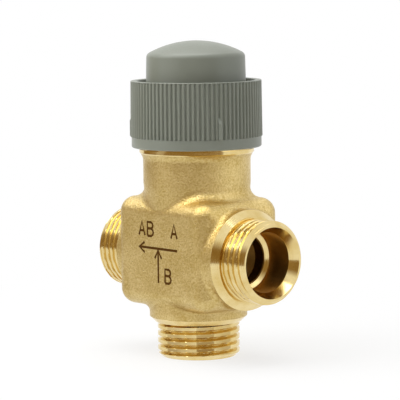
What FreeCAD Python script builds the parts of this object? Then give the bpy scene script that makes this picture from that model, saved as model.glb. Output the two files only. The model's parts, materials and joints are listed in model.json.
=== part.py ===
import FreeCAD, Part
import math
import os
import re

import Sketcher

# Three-way mixing valve, millimetres. The origin is the middle of the bottom port's end face, +Z runs up
# the stem, +X points out of port A, -X out of port AB, and port B points down.

doc = FreeCAD.newDocument("three_way_mixing_valve")
sheet = doc.addObject("Spreadsheet::Sheet", "dim")

DRIVING_DIMENSIONS = [
    ("port_reach", 28.2, "stem axis to the end face of a side port"),
    ("port_height", 26.0, "height of the side ports' axis"),
    ("thread_radius", 10.48, "outer radius of the half-inch pipe thread"),
    ("rim_radius", 9.4, "outer radius of a port's end face"),
    ("lead_in", 1.0, "length of the bevel at the start of a port thread"),
    ("mouth_radius", 8.9, "inner radius of a port's end face"),
    ("mouth_depth", 2.35, "depth of the cone for the compression ring"),
    ("socket_radius", 7.55, "socket for a 15 mm pipe"),
    ("socket_depth", 9.6, "depth of the pipe socket"),
    ("bore_radius", 6.1, "waterway behind the socket"),
    ("bore_end", 15.0, "stem axis to the end of a side port's straight bore"),
    ("drill_tip", 3.6, "length of the cone that the drill leaves"),
    ("collar_radius", 12.65, "forged collar behind a side port's thread"),
    ("collar_edge_a", 19.35, "stem axis to the sharp edge of port A's collar"),
    ("collar_edge_ab", 17.4, "stem axis to the sharp edge of port AB's collar"),
    ("port_shoulder_radius", 11.1, "inner end of the bevel between a collar or the boss and its thread"),
    ("thread_pitch", 1.814, "pitch of the port threads, 14 turns to the inch"),
    ("thread_depth", 1.162, "depth of the port threads"),
    ("thread_flat", 0.3, "width of a port thread's crests and roots"),
    ("side_thread_start", 2.77, "end face of a side port to the middle of its first thread groove"),
    ("bottom_thread_start", 1.87, "end face of the bottom port to the middle of its first thread groove"),
    ("grooves_a", 3, "thread grooves of port A"),
    ("grooves_ab", 4, "thread grooves of port AB"),
    ("grooves_b", 4, "thread grooves of port B"),
    ("boss_radius", 12.45, "forged boss above the bottom port's thread"),
    ("boss_edge", 10.3, "height of the boss's sharp lower edge"),
    ("block_half_length", 17.3, "forged block, along the side ports"),
    ("block_half_width", 13.2, "forged block, across the side ports"),
    ("block_bottom", 13.0, "height of the block's underside"),
    ("block_top", 40.7, "height of the block's shoulders"),
    ("block_round", 4.0, "rounding of the block's edges"),
    ("neck_round", 3.0, "fillet where the neck leaves the block"),
    ("port_round", 2.0, "fillet where the boss and port A's collar leave the block"),
    ("neck_radius", 13.65, "forged neck"),
    ("neck_foot_radius", 12.6, "neck's drafted foot inside the block"),
    ("neck_foot", 33.0, "height where the drafted foot ends"),
    ("neck_draft_top", 44.5, "height where the neck starts to narrow downwards"),
    ("cove_start", 50.2, "height where the neck starts to flare"),
    ("cove_end", 52.2, "height where the flare meets the rim"),
    ("cove_round", 3.0, "radius of the flare"),
    ("shoulder_radius", 14.6, "turned rim at the top of the neck"),
    ("shoulder_top", 53.0, "height of the turned rim's top face"),
    ("relief_radius", 13.9, "undercut below the cap thread"),
    ("relief_top", 54.2, "height of the top of the undercut"),
    ("cap_thread_radius", 14.95, "outer radius of the M30 x 1.5 cap thread"),
    ("neck_top", 62.0, "height of the neck's top face"),
    ("thread_bevel", 0.8, "bevel at both ends of the cap thread"),
    ("seat_radius", 4.0, "waterway through either valve seat"),
    ("lip_radius", 5.0, "outer radius of a seat's raised lip"),
    ("lip_height", 0.6, "height of a seat's raised lip"),
    ("bottom_bore_top", 12.6, "height where the bottom bore narrows to the seat"),
    ("lower_seat", 15.4, "height of the lower seat's lip"),
    ("mixing_radius", 7.5, "mixing chamber"),
    ("ledge", 27.0, "height of the ledge that carries the upper seat ring"),
    ("upper_chamber_radius", 9.5, "chamber above the upper seat"),
    ("upper_chamber_top", 43.0, "height where the chamber opens to the neck bore"),
    ("neck_bore_radius", 10.5, "threaded bore that takes the bonnet"),
    ("passage_radius", 4.2, "slanting waterway between a side port and its chamber"),
    ("passage_start", 15.5, "stem axis to the start of a slanting waterway"),
    ("passage_length", 13.0, "length of a slanting waterway"),
    ("passage_slope", 45.0, "slope of the slanting waterways in degrees"),
    ("thread_play", 0.05, "radial room between screwed pieces"),
    ("stem_play", 0.05, "radial room round the sliding stem"),
    ("lift", 2.5, "stem travel between the two seats"),
    ("seat_gap", 0.02, "room left at the upper seat when the stem is fully up"),
    ("seat_flange_radius", 9.3, "flange of the upper seat ring"),
    ("seat_flange_top", 28.5, "height of that flange's top face"),
    ("seat_groove_radius", 6.4, "ring groove in the upper seat ring"),
    ("seat_groove_bottom", 24.9, "height of that groove's lower side"),
    ("seat_groove_width", 1.5, "width of that groove"),
    ("nose_bottom", 38.5, "height of the bonnet's lower end"),
    ("nose_radius", 9.45, "bonnet below its thread"),
    ("nose_top", 44.0, "height where the bonnet's thread starts"),
    ("nose_groove_radius", 8.1, "ring groove in the bonnet's nose"),
    ("nose_groove_bottom", 39.7, "height of that groove's lower side"),
    ("nose_groove_width", 2.0, "width of that groove"),
    ("spring_room_radius", 6.9, "hollow in the bonnet for the spring"),
    ("spring_room_top", 46.6, "height of that hollow's ceiling"),
    ("bonnet_flange_radius", 12.0, "bonnet flange on the neck's top face"),
    ("bonnet_flange_top", 63.2, "height of that flange's top face"),
    ("bonnet_hex_flats", 17.0, "bonnet hexagon, across flats"),
    ("bonnet_top", 66.0, "height of the bonnet's top face"),
    ("gland_radius", 3.6, "seal room round the stem"),
    ("gland_bottom", 52.0, "height of the seal room's floor"),
    ("gland_thread_radius", 4.9, "threaded bore for the gland nut"),
    ("gland_thread_bottom", 57.5, "height where that thread starts"),
    ("gland_shank_bottom", 58.0, "height of the gland nut's shank end"),
    ("gland_hex_flats", 10.0, "gland nut hexagon, across flats"),
    ("gland_top", 68.6, "height of the gland nut's top face"),
    ("backing_height", 0.8, "backing washer between the stem seals"),
    ("stem_radius", 2.0, "stem"),
    ("stem_top", 71.0, "height of the stem's tip with the cap screwed down"),
    ("stem_tip_bevel", 0.5, "bevel on the stem's tip"),
    ("stem_end_radius", 1.5, "threaded lower end of the stem"),
    ("stem_end", 12.3, "height of the stem's lower end"),
    ("stem_collar_radius", 3.2, "collar that holds the plug from above"),
    ("stem_collar_height", 1.0, "height of that collar"),
    ("clip_groove_radius", 1.55, "groove in the stem for the clip"),
    ("disc_radius", 5.4, "rubber sealing discs"),
    ("disc_height", 1.4, "thickness of a sealing disc"),
    ("plug_height", 5.6, "plug from sealing face to sealing face"),
    ("plug_waist_radius", 4.2, "waist of the plug carrier"),
    ("plug_rim_height", 0.7, "rims of the plug carrier"),
    ("plug_washer_radius", 3.3, "washer under the lower disc"),
    ("plug_washer_height", 0.7, "thickness of that washer"),
    ("plug_nut_flats", 5.5, "nut under the plug, across flats"),
    ("plug_nut_height", 1.8, "height of that nut"),
    ("spring_seat_height", 0.5, "washer below the spring"),
    ("spring_seat_radius", 4.6, "hole in that washer"),
    ("spring_plate_radius", 6.6, "washers at both ends of the spring"),
    ("spring_radius", 5.6, "return spring, middle of the wire"),
    ("wire_radius", 0.45, "return spring wire"),
    ("spring_turns", 6.0, "return spring turns"),
    ("spring_top", 41.5, "height of the spring's upper end"),
    ("retainer_height", 1.5, "thickness of the spring retainer"),
    ("clip_height", 0.7, "thickness of the retaining clip"),
    ("clip_radius", 3.6, "outer radius of the retaining clip"),
    ("clip_mouth", 2.6, "gap in the retaining clip"),
    ("skirt_bottom", 53.4, "height of the cap's lower edge"),
    ("skirt_radius", 16.5, "plain skirt below the knurl"),
    ("skirt_round", 0.5, "rounding of the cap's lower edge"),
    ("skirt_bevel", 0.6, "bevel inside the cap's lower edge"),
    ("cap_bore_radius", 15.03, "cap thread, at the root"),
    ("knurl_bottom", 56.1, "height of the knurl's lower end"),
    ("knurl_bottom_radius", 16.75, "rib crests at the lower end"),
    ("knurl_top_radius", 16.6, "rib crests at the upper end"),
    ("ring_top", 70.3, "height of the knurled ring's top"),
    ("ring_round", 0.3, "rounding of the ring's top edge"),
    ("knurl_gap_top", 69.9, "height where the gaps between the ribs end"),
    ("knurl_gap_radius", 16.2, "floor of the gaps between the ribs"),
    ("knurl_gap_floor", 0.3, "width of a gap at its floor"),
    ("knurl_gap_mouth", 0.9, "width of a gap at the pointer ribs' radius"),
    ("knurl_count", 87, "ribs round the cap"),
    ("web_bottom", 64.0, "height of the underside of the cap's web"),
    ("web_top", 66.0, "height of the floor of the ring groove"),
    ("groove_radius", 15.0, "outer wall of the ring groove"),
    ("dome_foot_radius", 12.75, "dome at the floor of the groove"),
    ("dome_radius", 12.5, "dome at its shoulder"),
    ("dome_sphere", 25.0, "radius of the dome's top"),
    ("dome_top", 80.3, "height of the dome's middle"),
    ("dome_round", 1.5, "rounding of the dome's shoulder"),
    ("cap_wall", 1.8, "wall of the dome"),
    ("push_boss_radius", 3.5, "boss inside the dome that bears on the stem"),
    ("marker_count", 3, "pointer ribs on the knurl"),
    ("marker_angle", -20.0, "turn of the first pointer rib from port A in degrees"),
    ("marker_radius", 17.15, "crest of a pointer rib"),
    ("marker_width", 1.0, "width of a pointer rib"),
    ("marker_shoulder", 60.1, "height where a pointer rib's sloping tip starts"),
    ("marker_tip", 61.6, "height of a pointer rib's tip"),
]

for row, (alias, value, meaning) in enumerate(DRIVING_DIMENSIONS, start=1):
    sheet.set(f"A{row}", meaning)
    sheet.set(f"B{row}", str(value))
    sheet.setAlias(f"B{row}", alias)
doc.recompute()

ALIASES = {alias for alias, value, meaning in DRIVING_DIMENSIONS}
EDGE_SAMPLES = 7
NEAR = 0.02


def bound(expression):
    """Write an expression in aliases as one that any object of the document can be bound to."""
    return re.sub(r"[a-z_]+", lambda word: f"dim.{word[0]}" if word[0] in ALIASES else word[0], expression)


def size(expression):
    """Value of an expression in aliases."""
    return float(sheet.evalExpression(bound(expression)))


def new_body(name):
    body = doc.addObject("PartDesign::Body", name)
    body.Label = name
    return body


def origin_feature(body, role):
    return next(feature for feature in body.Origin.OriginFeatures if feature.Role == role)


def new_sketch(body, name, plane, lift=None):
    """Sketch on one of the body's own planes, moved along its second axis by lift."""
    sketch = body.newObject("Sketcher::SketchObject", name)
    sketch.AttachmentSupport = [(origin_feature(body, plane), "")]
    sketch.MapMode = "FlatFace"
    if lift:
        sketch.setExpression("AttachmentOffset.Base.y", bound(lift))
    return sketch


def arc_through(start, end, radius, side):
    """Shorter arc from start to end, its centre left of the way when side is 1 and right when it is -1."""
    chord = end - start
    middle = (start + end) * 0.5
    left = FreeCAD.Vector(-chord.y, chord.x, 0).normalize()
    centre = middle + left * (side * math.sqrt(radius**2 - (chord.Length / 2) ** 2))
    return Part.Arc(start, centre + (middle - centre).normalize() * radius, end)


def draw_outline(sketch, points):
    """Closed outline through points, each a pair of expressions bound to the sheet.

    A third entry bends the side that leaves the point to that radius; a minus puts the centre on the right.
    """
    corners = [FreeCAD.Vector(size(point[0]), size(point[1]), 0) for point in points]
    count = len(points)
    ends = []
    for index, point in enumerate(points):
        start = corners[index]
        end = corners[(index + 1) % count]
        if len(point) == 2:
            side = Part.LineSegment(start, end)
        else:
            bend = point[2]
            side = arc_through(start, end, size(bend.lstrip("-")), -1 if bend.startswith("-") else 1)
        geometry = sketch.addGeometry(side, False)
        first = sketch.getPoint(geometry, 1)
        ends.append((1, 2) if first.distanceToPoint(start) < first.distanceToPoint(end) else (2, 1))
    for index in range(count):
        following = (index + 1) % count
        joint = Sketcher.Constraint("Coincident", index, ends[index][1], following, ends[following][0])
        sketch.addConstraint(joint)
    for index, point in enumerate(points):
        for kind, expression in (("DistanceX", point[0]), ("DistanceY", point[1])):
            place = Sketcher.Constraint(kind, -1, 1, index, ends[index][0], size(expression))
            sketch.setExpression(f"Constraints[{sketch.addConstraint(place)}]", bound(expression))
        if len(point) > 2:
            expression = point[2].lstrip("-")
            bend = Sketcher.Constraint("Radius", index, size(expression))
            sketch.setExpression(f"Constraints[{sketch.addConstraint(bend)}]", bound(expression))


def turn(body, name, points, axis="V_Axis", lift=None, cut=False):
    """Revolve an outline of radius and height, or of reach and radius where it turns about a side port."""
    volume = body.Shape.Volume if cut else 0.0
    sketch = new_sketch(body, f"{name}_profile", "XZ_Plane", lift)
    draw_outline(sketch, points)
    feature = body.newObject("PartDesign::Groove" if cut else "PartDesign::Revolution", name)
    feature.Profile = sketch
    feature.ReferenceAxis = (sketch, [axis])
    feature.Angle = 360
    doc.recompute()
    if cut and not body.Shape.Volume < volume:
        raise RuntimeError(f"{name} cuts nothing")
    return feature


def turned(name, points):
    """A sub-part that is one turned piece."""
    body = new_body(name)
    turn(body, f"{name}_turning", points)
    return body


def primitive(body, kind, name, sizes, place):
    """PartDesign primitive with its sizes and place bound to the sheet."""
    feature = body.newObject(f"PartDesign::{kind}", name)
    for entry, expression in sizes.items():
        feature.setExpression(entry, bound(expression))
    for entry, expression in place.items():
        feature.setExpression(f"Placement.{entry}", bound(expression))
    doc.recompute()
    return feature


def hexagon(body, name, flats, bottom, top):
    """Six-sided prism on the stem axis, its flats given across."""
    prism = primitive(
        body,
        "AdditivePrism",
        name,
        {"Circumradius": f"{flats} / sqrt(3)", "Height": f"{top} - ({bottom})"},
        {"Base.z": bottom},
    )
    prism.Polygon = 6


def round_edges(body, name, radius, test):
    """Fillet the edges of the body's last feature whose points all pass the test."""
    base = body.Tip
    chosen = [
        f"Edge{number}"
        for number, edge in enumerate(base.Shape.Edges, start=1)
        if not edge.Degenerated and all(test(point) for point in edge.discretize(EDGE_SAMPLES))
    ]
    fillet = body.newObject("PartDesign::Fillet", name)
    fillet.Base = (base, chosen)
    fillet.setExpression("Radius", bound(radius))
    doc.recompute()


def mirror_ports(body, name, features):
    """Repeat a side port's features on the other side of the stem."""
    mirrored = body.newObject("PartDesign::Mirrored", name)
    mirrored.Originals = features
    mirrored.MirrorPlane = (origin_feature(body, "YZ_Plane"), [""])
    body.Tip = mirrored
    doc.recompute()


def repeat_round(body, name, features, count):
    """Repeat features evenly round the stem axis."""
    pattern = body.newObject("PartDesign::PolarPattern", name)
    pattern.Originals = features
    pattern.Axis = (origin_feature(body, "Z_Axis"), [""])
    pattern.Angle = 360
    pattern.setExpression("Occurrences", bound(count))
    body.Tip = pattern
    doc.recompute()


def repeat_along(body, name, features, axis, step, count, backwards):
    """Repeat features at even steps along one of the body's axes."""
    pattern = body.newObject("PartDesign::LinearPattern", name)
    pattern.Originals = features
    pattern.Direction = (origin_feature(body, axis), [""])
    pattern.Reversed = backwards
    pattern.setExpression("Length", bound(f"{step} * ({count} - 1)"))
    pattern.setExpression("Occurrences", bound(count))
    body.Tip = pattern
    doc.recompute()


def at_neck_root(point):
    """Whether a point lies where the neck leaves the forged block."""
    from_stem = math.hypot(point.x, point.y)
    draft = (size("neck_radius") - size("neck_foot_radius")) / (size("neck_draft_top") - size("neck_foot"))
    neck = size("neck_foot_radius") + draft * (point.z - size("neck_foot"))
    return size("neck_foot") < point.z < size("block_top") + NEAR and abs(from_stem - neck) < NEAR


def at_port_root(point):
    """Whether a point lies where the bottom port's boss or port A's collar leaves the forged block."""
    from_stem = math.hypot(point.x, point.y)
    from_port = math.hypot(point.y, point.z - size("port_height"))
    on_boss = abs(from_stem - size("boss_radius")) < NEAR
    if on_boss and size("boss_edge") + NEAR < point.z < size("port_height"):
        return True
    return 0 < point.x < size("block_half_length") + NEAR and abs(from_port - size("collar_radius")) < NEAR


def add_side_port(body, port, side):
    """Turn a side port's collar, its bevelled shoulder and its thread blank; side is -1 left of the stem."""
    shoulder = f"collar_edge_{port} + collar_radius - port_shoulder_radius"
    outline = [
        ("0", "0"),
        ("port_reach", "0"),
        ("port_reach", "rim_radius"),
        ("port_reach - lead_in", "thread_radius"),
        (shoulder, "thread_radius"),
        (shoulder, "port_shoulder_radius"),
        (f"collar_edge_{port}", "collar_radius"),
        ("0", "collar_radius"),
    ]
    points = [(f"{side} * ({reach})", radius) for reach, radius in outline]
    turn(body, f"port_{port}", points, axis="H_Axis", lift="port_height")


def groove_section(middle):
    """Outline of one thread groove: its place along the port's axis and its radius, corner by corner."""
    root = "thread_radius - thread_depth"
    mouth = "(thread_pitch - thread_flat) / 2"
    return [
        (f"{middle} - {mouth}", "thread_radius"),
        (f"{middle} - thread_flat / 2", root),
        (f"{middle} + thread_flat / 2", root),
        (f"{middle} + {mouth}", "thread_radius"),
    ]


def add_port_threads(body):
    """Cut the three port threads as rings of the thread's pitch and depth."""
    outermost = "(port_reach - side_thread_start)"
    for port, middle, inwards in (("a", outermost, True), ("ab", f"-{outermost}", False)):
        section = groove_section(middle)
        name = f"thread_groove_{port}"
        groove = turn(body, name, section, axis="H_Axis", lift="port_height", cut=True)
        repeat_along(body, f"thread_{port}", [groove], "X_Axis", "thread_pitch", f"grooves_{port}", inwards)
    section = [(radius, height) for height, radius in groove_section("bottom_thread_start")]
    groove = turn(body, "thread_groove_b", section, cut=True)
    repeat_along(body, "thread_b", [groove], "Z_Axis", "thread_pitch", "grooves_b", False)


def build_valve_body():
    """Forged brass body: block, neck, boss and three threaded ports, with its waterways bored."""
    body = new_body("valve_body")

    block = new_sketch(body, "block_plan", "XY_Plane")
    block.setExpression("AttachmentOffset.Base.z", bound("block_bottom"))
    draw_outline(
        block,
        [
            ("-block_half_length", "-block_half_width"),
            ("block_half_length", "-block_half_width"),
            ("block_half_length", "block_half_width"),
            ("-block_half_length", "block_half_width"),
        ],
    )
    forging = body.newObject("PartDesign::Pad", "block")
    forging.Profile = block
    forging.setExpression("Length", bound("block_top - block_bottom"))
    doc.recompute()
    round_edges(body, "block_rounding", "block_round", lambda point: True)

    turn(
        body,
        "neck_and_boss",
        [
            ("0", "0"),
            ("rim_radius", "0"),
            ("thread_radius", "lead_in"),
            ("thread_radius", "boss_edge - boss_radius + port_shoulder_radius"),
            ("port_shoulder_radius", "boss_edge - boss_radius + port_shoulder_radius"),
            ("boss_radius", "boss_edge"),
            ("boss_radius", "port_height"),
            ("neck_foot_radius", "neck_foot"),
            ("neck_radius", "neck_draft_top"),
            ("neck_radius", "cove_start", "-cove_round"),
            ("shoulder_radius", "cove_end"),
            ("shoulder_radius", "shoulder_top"),
            ("relief_radius", "shoulder_top"),
            ("relief_radius", "relief_top - thread_bevel"),
            ("cap_thread_radius", "relief_top"),
            ("cap_thread_radius", "neck_top - thread_bevel"),
            ("cap_thread_radius - thread_bevel", "neck_top"),
            ("0", "neck_top"),
        ],
    )
    add_side_port(body, "a", 1)
    add_side_port(body, "ab", -1)
    round_edges(body, "neck_fillet", "neck_round", at_neck_root)
    round_edges(body, "port_fillets", "port_round", at_port_root)

    turn(
        body,
        "stem_bore",
        [
            ("0", "0"),
            ("mouth_radius", "0"),
            ("socket_radius", "mouth_depth"),
            ("socket_radius", "socket_depth"),
            ("bore_radius", "socket_depth"),
            ("bore_radius", "bottom_bore_top"),
            ("seat_radius", "bottom_bore_top"),
            ("seat_radius", "lower_seat"),
            ("lip_radius", "lower_seat"),
            ("lip_radius", "lower_seat - lip_height"),
            ("mixing_radius", "lower_seat - lip_height"),
            ("mixing_radius", "ledge"),
            ("upper_chamber_radius", "ledge"),
            ("upper_chamber_radius", "upper_chamber_top"),
            ("neck_bore_radius", "upper_chamber_top"),
            ("neck_bore_radius", "neck_top"),
            ("0", "neck_top"),
        ],
        cut=True,
    )
    socket = turn(
        body,
        "side_bore",
        [
            ("bore_end - drill_tip", "0"),
            ("port_reach", "0"),
            ("port_reach", "mouth_radius"),
            ("port_reach - mouth_depth", "socket_radius"),
            ("port_reach - socket_depth", "socket_radius"),
            ("port_reach - socket_depth", "bore_radius"),
            ("bore_end", "bore_radius"),
        ],
        axis="H_Axis",
        lift="port_height",
        cut=True,
    )
    mirror_ports(body, "both_side_bores", [socket])

    for name, start, slope in (
        ("inlet_a_passage", "passage_start", "-passage_slope"),
        ("outlet_passage", "-passage_start", "180 - passage_slope"),
    ):
        passage = primitive(
            body,
            "SubtractiveCylinder",
            name,
            {"Radius": "passage_radius", "Height": "passage_length"},
            {"Base.x": start, "Base.z": "port_height"},
        )
        passage.Placement.Rotation.Axis = FreeCAD.Vector(0, 1, 0)
        passage.setExpression("Placement.Rotation.Angle", bound(slope))
        doc.recompute()
    add_port_threads(body)
    return body


def build_upper_seat_ring():
    """Turned brass ring screwed into the body above the mixing chamber, with a ring groove in its side."""
    seat = "lower_seat + plug_height + lift + seat_gap"
    return turned(
        "upper_seat_ring",
        [
            ("seat_radius", seat),
            ("lip_radius", seat),
            ("lip_radius", f"{seat} + lip_height"),
            ("mixing_radius - thread_play", f"{seat} + lip_height"),
            ("mixing_radius - thread_play", "seat_groove_bottom"),
            ("seat_groove_radius", "seat_groove_bottom"),
            ("seat_groove_radius", "seat_groove_bottom + seat_groove_width"),
            ("mixing_radius - thread_play", "seat_groove_bottom + seat_groove_width"),
            ("mixing_radius - thread_play", "ledge"),
            ("seat_flange_radius", "ledge"),
            ("seat_flange_radius", "seat_flange_top"),
            ("seat_radius", "seat_flange_top"),
        ],
    )


def build_bonnet():
    """Turned brass bonnet screwed into the neck, with flange, hexagon, seal room and spring hollow."""
    body = new_body("bonnet")
    turn(
        body,
        "bonnet_turning",
        [
            ("0", "nose_bottom"),
            ("nose_radius", "nose_bottom"),
            ("nose_radius", "nose_groove_bottom"),
            ("nose_groove_radius", "nose_groove_bottom"),
            ("nose_groove_radius", "nose_groove_bottom + nose_groove_width"),
            ("nose_radius", "nose_groove_bottom + nose_groove_width"),
            ("nose_radius", "nose_top"),
            ("neck_bore_radius - thread_play", "nose_top + thread_bevel"),
            ("neck_bore_radius - thread_play", "neck_top"),
            ("bonnet_flange_radius", "neck_top"),
            ("bonnet_flange_radius", "bonnet_flange_top"),
            ("0", "bonnet_flange_top"),
        ],
    )
    hexagon(body, "bonnet_hexagon", "bonnet_hex_flats", "bonnet_flange_top", "bonnet_top")
    turn(
        body,
        "bonnet_bore",
        [
            ("0", "nose_bottom"),
            ("spring_room_radius", "nose_bottom"),
            ("spring_room_radius", "spring_room_top"),
            ("stem_radius + stem_play", "spring_room_top"),
            ("stem_radius + stem_play", "gland_bottom"),
            ("gland_radius", "gland_bottom"),
            ("gland_radius", "gland_thread_bottom"),
            ("gland_thread_radius", "gland_thread_bottom"),
            ("gland_thread_radius", "bonnet_top"),
            ("0", "bonnet_top"),
        ],
        cut=True,
    )
    return body


def build_gland_nut():
    """Turned brass nut that closes the seal room and guides the stem."""
    body = new_body("gland_nut")
    seal_height = "(gland_radius - stem_radius - stem_play)"
    turn(
        body,
        "gland_nut_turning",
        [
            ("0", f"gland_bottom + 2 * {seal_height} + backing_height"),
            ("gland_radius - thread_play", f"gland_bottom + 2 * {seal_height} + backing_height"),
            ("gland_radius - thread_play", "gland_shank_bottom"),
            ("gland_thread_radius - thread_play", "gland_shank_bottom"),
            ("gland_thread_radius - thread_play", "bonnet_top"),
            ("0", "bonnet_top"),
        ],
    )
    hexagon(body, "gland_nut_hexagon", "gland_hex_flats", "bonnet_top", "gland_top")
    turn(
        body,
        "gland_nut_bore",
        [
            ("0", "gland_bottom"),
            ("stem_radius + stem_play", "gland_bottom"),
            ("stem_radius + stem_play", "gland_top"),
            ("0", "gland_top"),
        ],
        cut=True,
    )
    return body


def build_ring(name, inner, outer, middle_height):
    """Rubber O-ring that fills the room between two radii."""
    ring = doc.addObject("Part::Torus", name)
    ring.Label = name
    ring.setExpression("Radius1", bound(f"(({outer}) + ({inner})) / 2"))
    ring.setExpression("Radius2", bound(f"(({outer}) - ({inner})) / 2"))
    ring.setExpression("Placement.Base.z", bound(middle_height))
    return ring


def build_rings():
    """The O-rings of the seat ring, the bonnet and the stem."""
    stem_side = "stem_radius + stem_play"
    seal_height = f"(gland_radius - ({stem_side}))"
    in_seat_groove = "seat_groove_bottom + seat_groove_width / 2"
    in_nose_groove = "nose_groove_bottom + nose_groove_width / 2"
    above_backing = f"gland_bottom + 1.5 * {seal_height} + backing_height"
    return [
        build_ring("seat_o_ring", "seat_groove_radius", "mixing_radius", in_seat_groove),
        build_ring("bonnet_o_ring", "nose_groove_radius", "upper_chamber_radius", in_nose_groove),
        build_ring("lower_stem_o_ring", stem_side, "gland_radius", f"gland_bottom + {seal_height} / 2"),
        build_ring("upper_stem_o_ring", stem_side, "gland_radius", above_backing),
    ]


def build_washer(name, inner, outer, bottom, height):
    """Flat round piece with a hole, on the stem axis."""
    return turned(
        name,
        [
            (inner, bottom),
            (outer, bottom),
            (outer, f"{bottom} + {height}"),
            (inner, f"{bottom} + {height}"),
        ],
    )


def build_washers():
    """Flat pieces on the stem: sealing discs, washers and the plates at both ends of the spring."""
    stem_hole = "stem_radius + stem_play"
    end_hole = "stem_end_radius + thread_play"
    seal_height = f"(gland_radius - ({stem_hole}))"
    upper_disc = "lower_seat + plug_height - disc_height"
    under_plug = "lower_seat - plug_washer_height"
    on_lower_ring = f"gland_bottom + {seal_height}"
    in_gland = "gland_radius - thread_play"
    seat_hole = "spring_seat_radius"
    plate = "spring_plate_radius"
    return [
        build_washer("stem_backing_washer", stem_hole, in_gland, on_lower_ring, "backing_height"),
        build_washer("lower_sealing_disc", end_hole, "disc_radius", "lower_seat", "disc_height"),
        build_washer("upper_sealing_disc", end_hole, "disc_radius", upper_disc, "disc_height"),
        build_washer("plug_washer", end_hole, "plug_washer_radius", under_plug, "plug_washer_height"),
        build_washer("spring_seat_washer", seat_hole, plate, "seat_flange_top", "spring_seat_height"),
        build_washer("spring_retainer", stem_hole, plate, "spring_top", "retainer_height"),
    ]


def build_plug_carrier():
    """Turned brass spool between the two sealing discs."""
    bottom = "lower_seat + disc_height"
    top = "lower_seat + plug_height - disc_height"
    return turned(
        "plug_carrier",
        [
            ("stem_end_radius + thread_play", bottom),
            ("disc_radius", bottom),
            ("disc_radius", f"{bottom} + plug_rim_height"),
            ("plug_waist_radius", f"{bottom} + plug_rim_height"),
            ("plug_waist_radius", f"{top} - plug_rim_height"),
            ("disc_radius", f"{top} - plug_rim_height"),
            ("disc_radius", top),
            ("stem_end_radius + thread_play", top),
        ],
    )


def build_plug_nut():
    """Hexagon nut on the stem's lower end."""
    body = new_body("plug_nut")
    top = "lower_seat - plug_washer_height"
    bottom = f"{top} - plug_nut_height"
    hexagon(body, "plug_nut_hexagon", "plug_nut_flats", bottom, top)
    primitive(
        body,
        "SubtractiveCylinder",
        "plug_nut_bore",
        {"Radius": "stem_end_radius + thread_play", "Height": "plug_nut_height"},
        {"Base.z": bottom},
    )
    return body


def build_stem():
    """Stainless stem: bevelled tip, clip groove, collar above the plug and a threaded end below it."""
    plug_top = "lower_seat + plug_height"
    clip_bottom = "spring_top + retainer_height"
    return turned(
        "stem",
        [
            ("0", "stem_end"),
            ("stem_end_radius", "stem_end"),
            ("stem_end_radius", plug_top),
            ("stem_collar_radius", plug_top),
            ("stem_collar_radius", f"{plug_top} + stem_collar_height"),
            ("stem_radius", f"{plug_top} + stem_collar_height"),
            ("stem_radius", clip_bottom),
            ("clip_groove_radius", clip_bottom),
            ("clip_groove_radius", f"{clip_bottom} + clip_height"),
            ("stem_radius", f"{clip_bottom} + clip_height"),
            ("stem_radius", "stem_top - stem_tip_bevel"),
            ("stem_radius - stem_tip_bevel", "stem_top"),
            ("0", "stem_top"),
        ],
    )


def build_retaining_clip():
    """Open spring-steel clip in the stem's groove, which holds the spring retainer down."""
    body = new_body("retaining_clip")
    bottom = "spring_top + retainer_height"
    turn(
        body,
        "clip_ring",
        [
            ("clip_groove_radius + stem_play", bottom),
            ("clip_radius", bottom),
            ("clip_radius", f"{bottom} + clip_height"),
            ("clip_groove_radius + stem_play", f"{bottom} + clip_height"),
        ],
    )
    primitive(
        body,
        "SubtractiveBox",
        "clip_opening",
        {"Length": "clip_radius", "Width": "clip_mouth", "Height": "clip_height"},
        {"Base.y": "-clip_mouth / 2", "Base.z": bottom},
    )
    return body


def build_return_spring():
    """Coil spring between the seat ring's washer and the stem's retainer."""
    body = new_body("return_spring")
    bottom = "(seat_flange_top + spring_seat_height + wire_radius)"
    top = "(spring_top - wire_radius)"
    wire = new_sketch(body, "wire_section", "XZ_Plane")
    middle = FreeCAD.Vector(size("spring_radius"), size(bottom), 0)
    circle = wire.addGeometry(Part.Circle(middle, FreeCAD.Vector(0, 0, 1), size("wire_radius")), False)
    for constraint, expression in (
        (Sketcher.Constraint("Radius", circle, size("wire_radius")), "wire_radius"),
        (Sketcher.Constraint("DistanceX", -1, 1, circle, 3, middle.x), "spring_radius"),
        (Sketcher.Constraint("DistanceY", -1, 1, circle, 3, middle.y), bottom),
    ):
        wire.setExpression(f"Constraints[{wire.addConstraint(constraint)}]", bound(expression))
    coil = body.newObject("PartDesign::AdditiveHelix", "coil")
    coil.Profile = wire
    coil.ReferenceAxis = (wire, ["V_Axis"])
    coil.Mode = "height-turns-angle"
    coil.setExpression("Height", bound(f"{top} - {bottom}"))
    coil.setExpression("Turns", bound("spring_turns"))
    doc.recompute()
    return body


def on_dome_shoulder(point):
    return point.z > size("ring_top") and abs(math.hypot(point.x, point.y) - size("dome_radius")) < NEAR


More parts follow.
